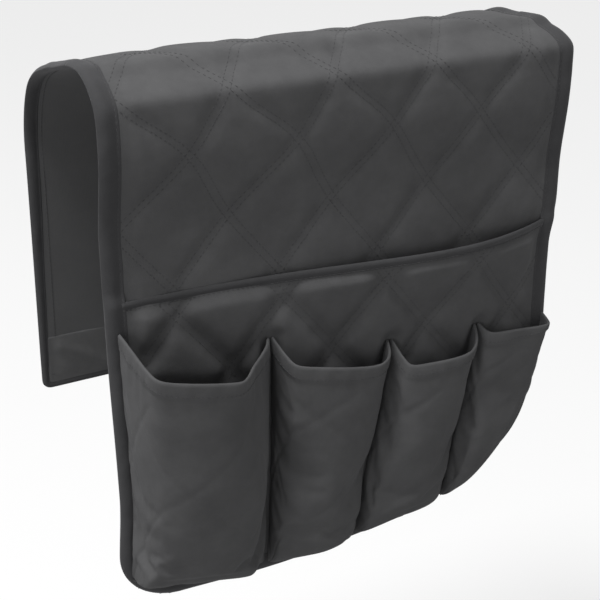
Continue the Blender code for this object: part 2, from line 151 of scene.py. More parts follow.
# Quilting
QUILT_STEPS = 24
QUILT_PUFF = 1.8 * MM
CHANNEL_RIDGE = 0.6 * MM
PUCKER = 0.5 * MM
EDGE_THINNING = 1.0 * MM
POCKET_FULLNESS = 1.65
QUILT_CELL = 1 / np.hypot(1 / QUILT_ACROSS, 1 / QUILT_ALONG)
CHANNEL = QUILT_CELL / QUILT_STEPS
PUFF_POWER = 7.0
PUFF_EDGE = 13 * MM
PUFF_CAP = 3.2 * MM
PUCKER_CELL, PUCKER_REACH = 6 * MM, 5 * MM
LEAST_ROOM = 0.05
HEM_MARGIN = 3 * MM
EDGE_MARGIN = 1 * MM
STITCH_MARGIN = TAPE_REACH * 1.05

# How a puff is simulated, and the share of its height that the ideal puff gives
PUFF_START, PUFF_PRESSURE, PUFF_SWELL, IDEAL_SHARE = 0.7, 0.4, 0.006, 0.85

# How the lattice drifts: its row on the fold lies lower, the next one leans inwards more from left to right
FOLD_ROW_DROP, FOLD_ROW_REACH, NEXT_ROW_REACH = 6 * MM, 24 * MM, 30 * MM
LEFT_LEAN, LEAN_CHANGE, LEAN_FROM, LEAN_SPAN = 11 * MM, 19 * MM, -60 * MM, 226 * MM
DRIFT_EDGE = 12 * MM

# Quilting lines on each side of the middle, how far they run, and the height that stitches are laid from
LINES = 12
LINE_REACH = 900 * MM
ABOVE = Vector((0, 0, 50 * MM))

# Cloth thickness, stitches
CLOTH = 0.8 * MM
TAPE_CLOTH = 0.5 * MM
LINING_CLOTH = 0.5 * MM
FACING_CLOTH = 0.6 * MM
POUCH_THICKNESS = 1.0 * MM
STITCH_PITCH = 3.2 * MM
STITCH_SHARE = 0.72
THREAD = 0.22 * MM

# Simulation, in which a cloth that lies flat hangs along itself
SIM_SCALE = 10
SIM_FRAMES = 22
SIM_GRAVITY = (0, 9.81, 0)
SIM_CLOTH = {
    "quality": 6, "mass": 0.3, "air_damping": 4,
    "tension_stiffness": 20, "compression_stiffness": 20, "shear_stiffness": 8,
}


# Flat cloth and drape

def noise(x, y, cell, seed):
    """Smooth noise from -1 to 1, with bumps about a cell wide."""
    count = 61
    lattice = np.random.default_rng(seed).uniform(-1, 1, (count, count))
    u, v = np.asarray(x) / cell, np.asarray(y) / cell
    i, j = np.floor(u).astype(int), np.floor(v).astype(int)
    a, b = u - i, v - j
    a, b = a * a * (3 - 2 * a), b * b * (3 - 2 * b)

    def at(di, dj):
        return lattice[(i + di) % count, (j + dj) % count]

    return (at(0, 0) * (1 - a) + at(1, 0) * a) * (1 - b) + (at(0, 1) * (1 - a) + at(1, 1) * a) * b


def fade(distance, length):
    """0 at no distance, rising smoothly to 1 over a length."""
    share = np.clip(distance / length, 0, 1)
    return share * share * (3 - 2 * share)


def hill(distance, width):
    """1 at no distance, falling smoothly to 0 on both sides."""
    return np.exp(-((distance / width) ** 2))


def within(along, window):
    return fade(along - window.start, window.rise) * fade(window.end - along, window.fall)


def near_edge(across, side, reach):
    """1 at the left (-1) or right (1) edge, falling to 0 a reach further in."""
    return fade(side * across - HALF_WIDTH + reach, reach)


def armrest_profile():
    """Places and turns of the lining's line over the armrest, with each start of an arc eased."""
    step, ease, margin = 0.5 * MM, 14 * MM, 30 * MM
    along = np.arange(-BACK_BOTTOM - margin, FRONT_BOTTOM + margin, step)
    front = np.clip((along - HALF_FLAT) / FRONT_RADIUS, 0, pi / 2)
    back = np.clip((-along - HALF_FLAT) / BACK_RADIUS, 0, pi / 2)
    kernel = np.hanning(round(ease / step))
    turn = np.convolve(front - back, kernel / kernel.sum(), mode="same")
    ends = len(kernel)
    turn[:ends], turn[-ends:] = -pi / 2, pi / 2
    y = np.cumsum(-np.cos(turn)) * step
    z = np.cumsum(-np.sin(turn)) * step
    middle = np.argmin(np.abs(along))
    return along, turn, y - y[middle], z - z[middle]


PROFILE = armrest_profile()


def front_fold(along):
    """How far the front shoulder stands off its arc, to slope down and turn in a tight fold."""
    turn = np.clip((along - HALF_FLAT) / FRONT_RADIUS, 0.01, pi / 2)
    radius = FRONT_RADIUS + SADDLE_TOP
    slope = radius / (np.cos(turn) + tan(FOLD_SLOPE) * fade(turn, FOLD_START) * np.sin(turn))
    front = radius / np.sin(turn)
    nearer, farther = np.minimum(slope, front), np.maximum(slope, front)
    return nearer - FOLD_ROUNDING * np.log1p(np.exp((nearer - farther) / FOLD_ROUNDING)) - radius


def wave(across, along):
    """How far the cloth stands off its plain bend: uneven, sunk on both shoulders, leaning and swinging."""
    left, right = near_edge(across, -1, END_REACH), near_edge(across, 1, END_REACH)
    sunk = (MIDDLE_SAG - RIGHT_SAG_LESS * right) * within(along, MIDDLE_SAGS) * (1 - left)
    sunk += LEFT_SAG * within(along, LEFT_SAGS) * left
    sunk += RIGHT_SAG * right * within(along, RIGHT_SAGS)
    fold = front_fold(along) * (1 - LEFT_FOLD_LESS * near_edge(across, -1, LEFT_FOLD_REACH))
    lean = FRONT_LEAN - RIGHT_LEAN_LESS * across / HALF_WIDTH
    lean *= fade(along - FRONT_ARC_END - LEAN_START, LEAN_LENGTH)
    lean *= 1 - REGAINED_SHARE * fade(along - MOUTH - REGAIN_START, REGAIN_LENGTH)
    dip = BACK_DIP * fade(-along - BACK_ARC_END + BACK_DIP_LENGTH, BACK_DIP_LENGTH)
    swing = BACK_SWING * np.clip((-along - BACK_ARC_END) / BACK_DROP, 0, 1) - dip
    uneven = sum(height * noise(across, along, cell, seed) for height, cell, seed in UNEVEN)
    flare = FLARE_OUT * right * within(along, FLARES)
    return uneven + fold + swing + flare - sunk - lean


def spread(across, along):
    """How far to the right the cloth is drawn out, or to the left at the front's lower left."""
    right = FLARE_WIDE * near_edge(across, 1, FLARE_REACH) * within(along, FLARES)
    left = LEFT_WIDE * near_edge(across, -1, LEFT_WIDE_REACH)
    return right - left * fade(along - FRONT_BOTTOM + LEFT_WIDE_HEIGHT, LEFT_WIDE_REACH)


def pull(across, along):
    """How far along the cloth is drawn: down the front by the two widest pouches, and down the back."""
    front = POUCH_PULL * hill(across - PULL_CENTRE, PULL_REACH) * fade(along - MOUTH, POCKET_HEIGHT)
    return front - BACK_PULL * fade(-along - BACK_ARC_END, BACK_DROP)


def drape(points):
    """Bend flat points over the armrest, into the row's own place."""
    along, turn, y, z = PROFILE
    at = points[:, 1] + pull(points[:, 0], points[:, 1])
    angle = np.interp(at, along, turn)
    out = points[:, 2] + wave(points[:, 0], at)
    return np.column_stack(
        (
            points[:, 0] + spread(points[:, 0], at),
            np.interp(at, along, y) - np.sin(angle) * out,
            np.interp(at, along, z) + np.cos(angle) * out,
        )
    )


def bottom_of(front):
    """How far down the front drop or the back drop ends, along the cloth."""
    return FRONT_BOTTOM if front else BACK_BOTTOM


def side_reach(down, front, right, inset=0.0):
    """How far out a drop reaches at a way down, on its left or right."""
    radius = BACK_CORNER if not front else FRONT_RIGHT_CORNER if right else FRONT_LEFT_CORNER
    bottom = bottom_of(front)
    past = np.clip(down - (bottom - radius), 0, radius - inset)
    return HALF_WIDTH - radius + np.sqrt((radius - inset) ** 2 - past**2)


def inside_edge(across, along):
    """Distance from a point of the flat saddle to its outline, plus inside."""
    front = along > 0
    bottom = np.where(front, FRONT_BOTTOM, BACK_BOTTOM)
    radius = np.where(front, np.where(across < 0, FRONT_LEFT_CORNER, FRONT_RIGHT_CORNER), BACK_CORNER)
    from_side = HALF_WIDTH - np.abs(across)
    from_bottom = bottom - np.abs(along)
    in_corner = (from_side < radius) & (from_bottom < radius)
    rounded = radius - np.hypot(radius - from_side, radius - from_bottom)
    return np.where(in_corner, rounded, np.minimum(from_side, from_bottom))


def pocket_bulge(across, along):
    """How far the magazine pocket stands off the panel behind it."""
    share = np.clip((across + HALF_WIDTH - TAPE_REACH) / (2 * HALF_WIDTH - 2 * TAPE_REACH), 0, 1)
    depth = np.clip((along - MOUTH) / BULGE_DEPTH, 0, 1)
    return MOUTH_BULGE * np.sin(pi * share**BULGE_LEAN) * (1 - depth) ** 2


# Meshes

def grid_quads(rows, columns):
    """Quads of a grid of points that is stored row by row."""
    first = np.arange(rows * columns).reshape(rows, columns)
    corners = (first[:-1, :-1], first[:-1, 1:], first[1:, 1:], first[1:, :-1])
    return np.stack([corner.ravel() for corner in corners], axis=1)


def mesh_from(name, points, quads):
    mesh = bpy.data.meshes.new(name)
    mesh.from_pydata(np.asarray(points).tolist(), [], np.asarray(quads).tolist())
    return mesh


def arrays_of(mesh):
    points = np.empty(len(mesh.vertices) * 3)
    mesh.vertices.foreach_get("co", points)
    corners = np.empty(len(mesh.loops), int)
    mesh.loops.foreach_get("vertex_index", corners)
    return points.reshape(-1, 3), corners.reshape(-1, 4)


def evaluated_arrays(obj):
    """The points and quads of a helper object with its modifiers, which is then removed."""
    evaluated = obj.evaluated_get(bpy.context.evaluated_depsgraph_get())
    found = arrays_of(evaluated.data)
    mesh = obj.data
    bpy.data.objects.remove(obj)
    bpy.data.meshes.remove(mesh)
    return found


def helper(points, quads):
    obj = bpy.data.objects.new("helper", mesh_from("helper", points, quads))
    bpy.context.scene.collection.objects.link(obj)
    return obj


def refined(points, quads):
    """The points and quads after one round of smooth subdivision."""
    obj = helper(points, quads)
    obj.modifiers.new("finer", "SUBSURF").levels = 1
    return evaluated_arrays(obj)


def simulate(points, quads, pinned, pressure=0.0, gravity=0.0, swell=0.0, bending=0.5):
    """The points of a cloth after it has settled, with the pinned ones held. Swell is its extra size."""
    bpy.context.scene.gravity = SIM_GRAVITY
    obj = helper(points * SIM_SCALE, quads)
    group = obj.vertex_groups.new(name="pins")
    group.add(np.flatnonzero(pinned).tolist(), 1.0, "REPLACE")
    modifier = obj.modifiers.new("cloth", "CLOTH")
    modifier.collision_settings.use_collision = False
    settings = modifier.settings
    for name, value in SIM_CLOTH.items():
        setattr(settings, name, value)
    settings.bending_stiffness = bending
    settings.vertex_group_mass = "pins"
    settings.shrink_min = -swell
    settings.use_pressure = pressure > 0
    settings.uniform_pressure_force = pressure
    settings.effector_weights.gravity = gravity
    for number in range(1, SIM_FRAMES + 1):
        bpy.context.scene.frame_set(number)
    settled, _ = evaluated_arrays(obj)
    bpy.context.scene.frame_set(1)
    return settled / SIM_SCALE


def point_normals(points, quads):
    a, b, c, d = (points[quads[:, k]] for k in range(4))
    flat = np.cross(c - a, d - b)
    normals = np.zeros_like(points)
    for k in range(4):
        np.add.at(normals, quads[:, k], flat)
    return normals / np.maximum(np.linalg.norm(normals, axis=1, keepdims=True), 1e-12)


def part_of(points, quads, keep, *more):
    """The quads to keep and only their points, with any other arrays that go with the points."""
    quads = quads[keep]
    used, index = np.unique(quads, return_inverse=True)
    return points[used], index.reshape(-1, 4), *(array[used] for array in more)


def thickened(points, quads, thickness, normals):
    """A closed cloth with rounded edges from its outer face: points, quads, normals, each point's source."""
    count = len(points)
    thickness = np.broadcast_to(thickness, count)[:, None]
    inner = points - normals * thickness
    edges = np.concatenate([quads[:, [k, (k + 1) % 4]] for k in range(4)])
    _, index, uses = np.unique(np.sort(edges, axis=1), axis=0, return_inverse=True, return_counts=True)
    border = edges[uses[index.reshape(-1)] == 1]
    outward = np.zeros_like(points)
    sideways = np.cross(points[border[:, 1]] - points[border[:, 0]], normals[border[:, 0]])
    np.add.at(outward, border[:, 0], sideways)
    np.add.at(outward, border[:, 1], sideways)
    outward /= np.maximum(np.linalg.norm(outward, axis=1, keepdims=True), 1e-12)
    rim, place = np.unique(border, return_inverse=True)
    place = place.reshape(-1, 2) + 2 * count
    middle = ((points + inner) / 2 + outward * thickness / 2)[rim]
    rims = (
        np.column_stack((border[:, 1], border[:, 0], place[:, 0], place[:, 1])),
        np.column_stack((place[:, 1], place[:, 0], border[:, 0] + count, border[:, 1] + count)),
    )
    return (
        np.concatenate([points, inner, middle]),
        np.concatenate([quads, quads[:, ::-1] + count, *rims]),
        np.concatenate([normals, -normals, outward[rim]]),
        np.concatenate([np.arange(count), np.arange(count), rim]),
    )


def cloth(name, flat, quads, thickness, material, normals=None):
    """A shown cloth from its outer face laid flat. Draping mirrors the face, so its quads are turned."""
    draped, turned = drape(flat), quads[:, ::-1]
    own = point_normals(draped, turned) if normals is None else normals
    closed, all_quads, all_normals, source = thickened(draped, turned, thickness, own)
    obj = piece(name, closed, all_quads, material, None if normals is None else all_normals)
    attribute = obj.data.attributes.new("flat_cloth", "FLOAT_VECTOR", "POINT")
    attribute.data.foreach_set("vector", flat[source].astype(np.float32).ravel())
    return obj


def piece(name, points, quads, material, normals=None):
    """A shown object from points in the row's own place."""
    mesh = mesh_from(name, points, quads)
    mesh.polygons.foreach_set("use_smooth", np.ones(len(mesh.polygons), bool))
    mesh.materials.append(material)
    if normals is not None:
        mesh.normals_split_custom_set_from_vertices(np.asarray(normals).tolist())
    obj = bpy.data.objects.new(name, mesh)
    bpy.context.scene.collection.objects.link(obj)
    return obj


# Materials

def node(tree, kind, **values):
    made = tree.nodes.new(kind)
    for name, value in values.items():
        if name in made.inputs:
            made.inputs[name].default_value = value
        else:
            setattr(made, name, value)
    return made


def noise_node(tree, place, scale, detail=3.0, roughness=0.55):
    made = node(tree, "ShaderNodeTexNoise", Scale=scale, Detail=detail, Roughness=roughness)
    tree.links.new(place, made.inputs["Vector"])
    return made.outputs["Fac"]


def feed(tree, sockets, values):
    """Link each value that comes from a node to its socket, and set the others."""
    for socket, value in zip(sockets, values):
        if isinstance(value, bpy.types.NodeSocket):
            tree.links.new(value, socket)
        else:
            socket.default_value = value


def mixed(tree, share, first, second, kind="FLOAT"):
    made = tree.nodes.new("ShaderNodeMix")
    made.data_type = kind
    feed(tree, [socket for socket in made.inputs if socket.enabled], (share, first, second))
    return next(socket for socket in made.outputs if socket.enabled)


def ranged(tree, value, low, high, to_low=0.0, to_high=1.0):
    made = tree.nodes.new("ShaderNodeMapRange")
    tree.links.new(value, made.inputs["Value"])
    for name, number in zip(("From Min", "From Max", "To Min", "To Max"), (low, high, to_low, to_high)):
        made.inputs[name].default_value = number
    return made.outputs["Result"]


def math_node(tree, operation, first, second=0.5):
    made = tree.nodes.new("ShaderNodeMath")
    made.operation = operation
    feed(tree, made.inputs, (first, second))
    return made.outputs["Value"]


def grey(value, blue=0.002):
    return (value, value, value + blue, 1)


def cloth_material(name, dark, light, roughness, sheen, nap_scale, nap_depth, cloud=1.0):
    """Brushed cloth: clouds where the nap lies differently, fine fibres, and a soft sheen."""
    material = bpy.data.materials.new(name)
    material.use_nodes = True
    tree = material.node_tree
    shader = tree.nodes["Principled BSDF"]
    place = tree.nodes.new("ShaderNodeTexCoord").outputs["Object"]
    clouds = noise_node(tree, place, 38, 4.0, 0.6)
    patches = noise_node(tree, place, 170, 3.0, 0.6)
    fibres = noise_node(tree, place, nap_scale, 2.0, 0.7)
    share = 0.0
    for value, weight in ((clouds, 0.55 * cloud), (patches, 0.25), (fibres, 0.20)):
        weighed = math_node(tree, "MULTIPLY", ranged(tree, value, 0.3, 0.7), weight)
        share = math_node(tree, "ADD", weighed, share)
    tree.links.new(mixed(tree, share, dark, light, "RGBA"), shader.inputs["Base Color"])
    uneven = ranged(tree, patches, 0.2, 0.8, roughness - 0.06, roughness + 0.05)
    tree.links.new(uneven, shader.inputs["Roughness"])
    shader.inputs["Sheen Weight"].default_value = sheen
    shader.inputs["Sheen Roughness"].default_value = 0.45
    shader.inputs["Sheen Tint"].default_value = (0.85, 0.85, 0.88, 1)
    shader.inputs["Specular IOR Level"].default_value = 0.12
    height = math_node(tree, "ADD", fibres, math_node(tree, "MULTIPLY", patches, 1.4))
    bump = node(tree, "ShaderNodeBump", Strength=0.6, Distance=nap_depth)
    tree.links.new(height, bump.inputs["Height"])
    tree.links.new(bump.outputs["Normal"], shader.inputs["Normal"])
    return material


def woven_material(name, dark, light, roughness, rib, rib_depth):
    """Woven cloth: crossed threads from two waves on the flat cloth's own coordinates."""
    material = cloth_material(name, dark, light, roughness, 0.15, 1400, 0.1 * MM, 0.6)
    tree = material.node_tree
    shader = tree.nodes["Principled BSDF"]
    flat = node(tree, "ShaderNodeAttribute", attribute_name="flat_cloth").outputs["Vector"]
    heights = []
    for direction in ("X", "Y"):
        bands = node(tree, "ShaderNodeTexWave", wave_type="BANDS", bands_direction=direction, Scale=rib)
        bands.inputs["Distortion"].default_value = 0.6
        bands.inputs["Detail Scale"].default_value = 2.0
        tree.links.new(flat, bands.inputs["Vector"])
        heights.append(bands.outputs["Fac"])
    weave = math_node(tree, "MAXIMUM", heights[0], heights[1])
    bump = node(tree, "ShaderNodeBump", Strength=0.5, Distance=rib_depth)
    tree.links.new(weave, bump.inputs["Height"])
    below = shader.inputs["Normal"].links[0].from_socket
    tree.links.new(below, bump.inputs["Normal"])
    tree.links.new(bump.outputs["Normal"], shader.inputs["Normal"])
    return material


# Roughness, sheen, and the scale and depth of the nap of the brushed cloths
NAP = (0.92, 0.03, 2600, 0.22 * MM)
COVER = cloth_material("quilted_cover", grey(0.075), grey(0.105), *NAP)
POUCH_CLOTH = cloth_material("pouch_cloth", grey(0.073), grey(0.102), *NAP)
FACING = cloth_material("hem_facing", grey(0.092), grey(0.130), *NAP)
LINING = woven_material("lining", grey(0.092), grey(0.112), 0.86, 320, 0.08 * MM)
TAPE = woven_material("binding_tape", grey(0.042), grey(0.066), 0.80, 420, 0.06 * MM)
WADDING_CLOTH = cloth_material("wadding", grey(0.62, -0.02), grey(0.80, -0.02), 0.95, 0.1, 900, 0.6 * MM)
THREAD_CLOTH = cloth_material("thread", grey(0.050), grey(0.076), 0.70, 0.1, 4000, 0.06 * MM)


# Quilting

def stitch_distances(across, along, drop):
    """Distance to the nearest channel of each of the two families of quilting lines."""
    x = (across - QUILT_SHIFT) / QUILT_ACROSS
    y = (along - FRONT_FOLD - drop) / QUILT_ALONG
    return [np.abs(family - np.round(family)) * QUILT_CELL for family in (x + y, x - y)]


def quilt_puff(across, along, drop):
    """Height of an ideal puff: steep beside the stitches, broad in its middle, a low ridge in a channel."""
    first, second = stitch_distances(across, along, drop)
    reach = QUILT_CELL / 2 - CHANNEL
    rises = [1 - (1 - np.clip((d - CHANNEL) / reach, 0, 1)) ** PUFF_POWER for d in (first, second)]
    ridges = [np.clip(1 - (d / CHANNEL) ** 2, 0, 1) for d in (first, second)]
    ridge = CHANNEL_RIDGE * (ridges[0] * np.sqrt(rises[1]) + ridges[1] * np.sqrt(rises[0]))
    return QUILT_PUFF * rises[0] * rises[1] + ridge


def quilt_drift(across, along):
    """How far the lattice is off an even one, across and along."""
    inwards = LEFT_LEAN - LEAN_CHANGE * np.clip((across - LEAN_FROM) / LEAN_SPAN, 0, 1) ** 1.5
    next_row = hill(along - FRONT_FOLD - QUILT_ALONG / 2, NEXT_ROW_REACH)
    fold_row = hill(along - FRONT_FOLD, FOLD_ROW_REACH)
    beside = fade(HALF_WIDTH - np.abs(across), DRIFT_EDGE)
    return np.stack((inwards * next_row * beside, FOLD_ROW_DROP * fold_row * beside, 0 * across), axis=-1)


def quilted_sheet(along_low, along_high, drop, room):
    """A quilted cloth in the flat. room(across, along) says how full a place is, 0 under a tape."""
    step_across, step_along = QUILT_ACROSS / QUILT_STEPS, QUILT_ALONG / QUILT_STEPS
    first_column = -int((HALF_WIDTH + QUILT_SHIFT) / step_across)
    last_column = int((HALF_WIDTH - QUILT_SHIFT) / step_across)
    first_row = int(np.ceil((along_low - FRONT_FOLD - drop) / step_along))
    last_row = int((along_high - FRONT_FOLD - drop) / step_along)
    i, j = np.meshgrid(np.arange(first_column, last_column + 1), np.arange(first_row, last_row + 1))
    across = QUILT_SHIFT + i * step_across
    along = FRONT_FOLD + drop + j * step_along
    drift = quilt_drift(across, along)
    space = room(across + drift[..., 0], along + drift[..., 1])
    nearest = np.minimum(*stitch_distances(across, along, drop))
    pucker = PUCKER * noise(across, along, PUCKER_CELL, 13) * hill(nearest, PUCKER_REACH)
    height = (quilt_puff(across, along, drop) + pucker) * space
    points = np.stack((across, along, height), axis=2).reshape(-1, 3)
    quads = grid_quads(*i.shape)
    stitched = np.isin(np.mod(i + j, QUILT_STEPS), (1, QUILT_STEPS - 1))
    stitched |= np.isin(np.mod(i - j, QUILT_STEPS), (1, QUILT_STEPS - 1))
    pinned = (stitched | (space < LEAST_ROOM)).ravel()
    start = points * (1, 1, PUFF_START)
    settled = simulate(start, quads, pinned, pressure=PUFF_PRESSURE, swell=PUFF_SWELL)
    lift = IDEAL_SHARE * points[:, 2] + (1 - IDEAL_SHARE) * settled[:, 2]
    lift = np.clip(lift, 0, PUFF_CAP) * space.ravel()
    points = np.column_stack((settled[:, 0], settled[:, 1], lift))
    return refined(points + drift.reshape(-1, 3), quads)


def inside_outline(points, quads):
    """The part of a flat sheet that lies inside the saddle's outline."""
    centres = points[quads].mean(axis=1)
    return part_of(points, quads, inside_edge(centres[:, 0], centres[:, 1]) > EDGE_MARGIN)


def quilt_lines(drop):
    """Starts and ends, across and along, of the stitches of each double line in turn."""
    for sign in (1, -1):
        direction = np.array((QUILT_ACROSS, -sign * QUILT_ALONG))
        direction = direction / np.linalg.norm(direction)
        for number in range(-LINES, LINES + 1):
            for side in (-1, 1):
                family = number + side / QUILT_STEPS
                origin = np.array((QUILT_SHIFT + family * QUILT_ACROSS, FRONT_FOLD + drop))
                count = int(LINE_REACH / STITCH_PITCH)
                steps = (np.arange(-count, count)[:, None] + 0.5 * (number % 2)) * STITCH_PITCH
                line = origin + steps * direction
                ahead = line + direction * STITCH_PITCH * STITCH_SHARE
                yield [places + quilt_drift(*places.T)[:, :2] for places in (line, ahead)]


def quilt_stitches(points, quads, along_low, along_high, drop):
    """Ends of the stitches of every double line, laid on a quilted sheet in the flat."""
    tree = BVHTree.FromPolygons(points.tolist(), quads.tolist())
    found = []
    for line, ahead in quilt_lines(drop):
        across, along = ((line + ahead) / 2).T
        keep = (inside_edge(across, along) > STITCH_MARGIN) & (along > along_low) & (along < along_high)
        found.append((line[keep], ahead[keep]))

    def laid(places):
        hits = [tree.ray_cast(ABOVE + Vector((x, y, 0)), Vector((0, 0, -1)))[0] for x, y in places]
        return np.column_stack((places, [hit.z if hit else np.nan for hit in hits]))

    starts, ends = (laid(places) for places in join_ends(*found))
    on_cloth = ~np.isnan(starts[:, 2] + ends[:, 2])
    return starts[on_cloth], ends[on_cloth]


# A stitch's rings, as share of its length, and width and lift in radii. Its ends are closed by one quad each
STITCH_RINGS = ((0.0, 0.35, -1.0), (0.22, 0.95, 0.1), (0.5, 1.0, 0.35), (0.78, 0.95, 0.1), (1.0, 0.35, -1.0))
STITCH_SIDES = 6
STITCH_CAP = np.array(((1, 5, 4, 2),))
NEARLY_UP = np.array((0.11, 0.07, 1.0))


def stitches(starts, ends):
    """Short round threads from starts to ends, in the flat, that dive into the cloth at both ends."""
    along = ends - starts
    length = np.linalg.norm(along, axis=1, keepdims=True)
    along = along / np.maximum(length, 1e-9)
    beside = np.cross(along, NEARLY_UP)
    beside /= np.maximum(np.linalg.norm(beside, axis=1, keepdims=True), 1e-9)
    above = np.cross(along, beside)
    ring = np.arange(STITCH_SIDES)
    points, quads = [], []
    for level, (share, width, lift) in enumerate(STITCH_RINGS):
        centre = starts + along * length * share + np.array((0, 0, 1.0)) * THREAD * lift
        for turn in ring * 2 * pi / STITCH_SIDES:
            points.append(centre + (beside * np.cos(turn) + above * np.sin(turn)) * THREAD * width)
        if level:
            low, high = ring + (level - 1) * STITCH_SIDES, ring + level * STITCH_SIDES
            quads.append(np.column_stack((low, np.roll(low, -1), np.roll(high, -1), high)))
    count = len(points)
    quads = np.concatenate((*quads, STITCH_CAP, (STITCH_CAP + count - STITCH_SIDES)[:, ::-1]))
    offsets = np.arange(len(starts))[:, None, None] * count
    return np.stack(points, axis=1).reshape(-1, 3), (quads[None] + offsets).reshape(-1, 4)


def along_line(line):
    """Ends of the stitches from each point of a line towards the next."""
    return line[:-1], line[:-1] + (line[1:] - line[:-1]) * STITCH_SHARE


# Tapes

Station = namedtuple("Station", "anchor outward reach level")

# A folded tape's section, from its outer leg to its inner leg: inset as a share of the reach, how far it
# stands off what it lies on in millimetres, and 1 for the outer leg, 0 for the inner one.
TAPE_SECTION_SHARES = (
    (1.12, 0.00, 1), (1.10, 0.25, 1), (1.04, 0.30, 1), (0.98, 0.05, 1), (0.92, 0.08, 1), (0.82, 0.42, 1),
    (0.66, 1.05, 1), (0.48, 1.50, 1), (0.32, 1.40, 1), (0.18, 0.85, 1), (0.06, 0.05, 1),
    (-0.03, -0.70, 0.85), (-0.07, -0.60, 0.55), (-0.04, -0.50, 0.20),
    (0.06, 0.00, 0), (0.18, 0.40, 0), (0.32, 0.70, 0), (0.48, 0.80, 0), (0.68, 0.65, 0),
    (0.82, 0.40, 0), (0.92, 0.20, 0), (0.98, 0.18, 0), (1.04, 0.30, 0), (1.10, 0.20, 0), (1.12, 0.00, 0),
)
TAPE_STITCH_SHARE = 0.97
TAPE_GAP = 0.1 * MM
TAPE_STITCH_LIFT = 0.05 * MM
TAPE_PUCKERS = ((0.22, 0.0, 2.6), (0.15, 3.0, 6.0))
TAPE_WANDER = 0.35 * MM
NARROWER_BEHIND, NARROWER_LENGTH, NARROWER_DOWN = 0.35, 60 * MM, 0.3
LEVEL_START, LEVEL_LENGTH = 6 * MM, 8 * MM


def inner_share(station):
    """Share of its reach that a tape's inner leg keeps: less down the back's left edge and along its hem."""
    behind = -station.anchor[1]
    down = np.clip((behind - BACK_ARC_END) / BACK_DROP, 0, 1)
    narrower = NARROWER_BEHIND * fade(behind - HALF_FLAT, NARROWER_LENGTH) + NARROWER_DOWN * down
    return 1 - narrower * np.clip(1 - station.outward[0], 0, 1)


def tape_points(stations, seed):
    """Points of a tape folded over an edge, in the flat, a row for each station."""
    rows = []
    for number, station in enumerate(stations):
        pucker = 1 + sum(size * noise(number, place, cell, seed + k)
                         for k, (size, place, cell) in enumerate(TAPE_PUCKERS))
        wander = TAPE_WANDER * noise(number, 7.0, 5.0, seed + 2)
        row = []
        for inset_share, lift, leg in TAPE_SECTION_SHARES:
            inset = inset_share * TAPE_REACH + (wander if inset_share > 0.5 else 0)
            if leg < 0.5 and inset > 0:
                inset *= inner_share(station)
            across, along = station.anchor + station.outward * (station.reach - inset)
            rise = lift * MM * pucker
            row.append((across, along, leg * (station.level + rise) + (1 - leg) * -rise))
        rows.append(row)
    return np.array(rows)


def tape_stitches(stations, leg):
    """Ends of the stitches along a tape's outer leg (1) or inner leg (0)."""
    places = []
    for station in stations:
        across, along = station.anchor + station.outward * (station.reach - TAPE_STITCH_SHARE * TAPE_REACH)
        places.append((across, along, station.level + TAPE_STITCH_LIFT if leg else -TAPE_STITCH_LIFT))
    return along_line(np.array(places))


def edge_level(front, down):
    """What a tape's outer leg lies on: the cover, and further down the front the pocket over it."""
    ramp = float(fade(down - MOUTH + LEVEL_START, LEVEL_LENGTH)) if front else 0.0
    return SADDLE_TOP + TAPE_GAP + (POCKET_TOP - SADDLE_TOP) * ramp


def edge_stations(front):
    """Stations from the top's middle down the left edge, round the bottom and up the right edge."""
    bottom = bottom_of(front)
    side = np.array((1, 1 if front else -1))
    left, right = (FRONT_LEFT_CORNER, FRONT_RIGHT_CORNER) if front else (BACK_CORNER, BACK_CORNER)
    left_across, right_across = left - HALF_WIDTH, HALF_WIDTH - right
    found = []

    def add(anchor, outward, reach):
        anchor, outward = np.array(anchor), np.array(outward)
        down = (anchor + outward * reach)[1]
        found.append(Station(side * anchor, side * outward, reach, edge_level(front, down)))

    def straight(start, end, outward, reach):
        start, end = np.array(start), np.array(end)
        count = max(round(np.linalg.norm(end - start) / STITCH_PITCH), 1)
        for k in range(count):
            add(start + (end - start) * k / count, outward, reach)

    def arc(centre, radius, turn_start, turn_end):
        count = max(round(radius * abs(turn_end - turn_start) / STITCH_PITCH), 6)
        for k in range(count):
            turn = turn_start + (turn_end - turn_start) * k / count
            add(centre, (np.cos(turn), np.sin(turn)), radius)

    straight((left_across, 0), (left_across, bottom - left), (-1, 0), left)
    arc((left_across, bottom - left), left, pi, pi / 2)
    straight((left_across, bottom - left), (right_across, bottom - left), (0, 1), left)
    arc((right_across, bottom - right), right, pi / 2, 0)
    straight((right_across, bottom - right), (right_across, 0), (1, 0), right)
    add((right_across, 0), (1, 0), right)
    return found


def tape_piece(name, rows):
    points, quads = refined(rows.reshape(-1, 3), grid_quads(*rows.shape[:2]))
    outside = points[:, 2] - points[:, 2].mean()
    if np.sum(point_normals(points, quads)[:, 2] * outside) < 0:
        quads = quads[:, ::-1]
    return cloth(name, points, quads, TAPE_CLOTH, TAPE)


def stitch_piece(name, starts, ends, slot):
    points, quads = stitches(starts, ends)
    return piece(name, drape(points), quads[:, ::-1], THREAD_CLOTH)


def join_ends(*pairs):
    return np.concatenate([pair[0] for pair in pairs]), np.concatenate([pair[1] for pair in pairs])


# Saddle

RIPPLE, RIPPLE_CELL, RIPPLE_START, RIPPLE_LENGTH = 0.25 * MM, 23 * MM, 20 * MM, 30 * MM
LINING_INSET, LINING_CELL = TAPE_REACH * 0.35, 7 * MM
WADDING_INSET, WADDING_CELL = 1.5 * MM, 11 * MM
THINNING_START, THINNING_LENGTH = 0.5 * MM, 4 * MM
STITCHES_BELOW_MOUTH = 8 * MM
BEHIND_POCKET_LESS, BEHIND_POCKET_START, BEHIND_POCKET_LENGTH = 0.75, 4 * MM, 12 * MM


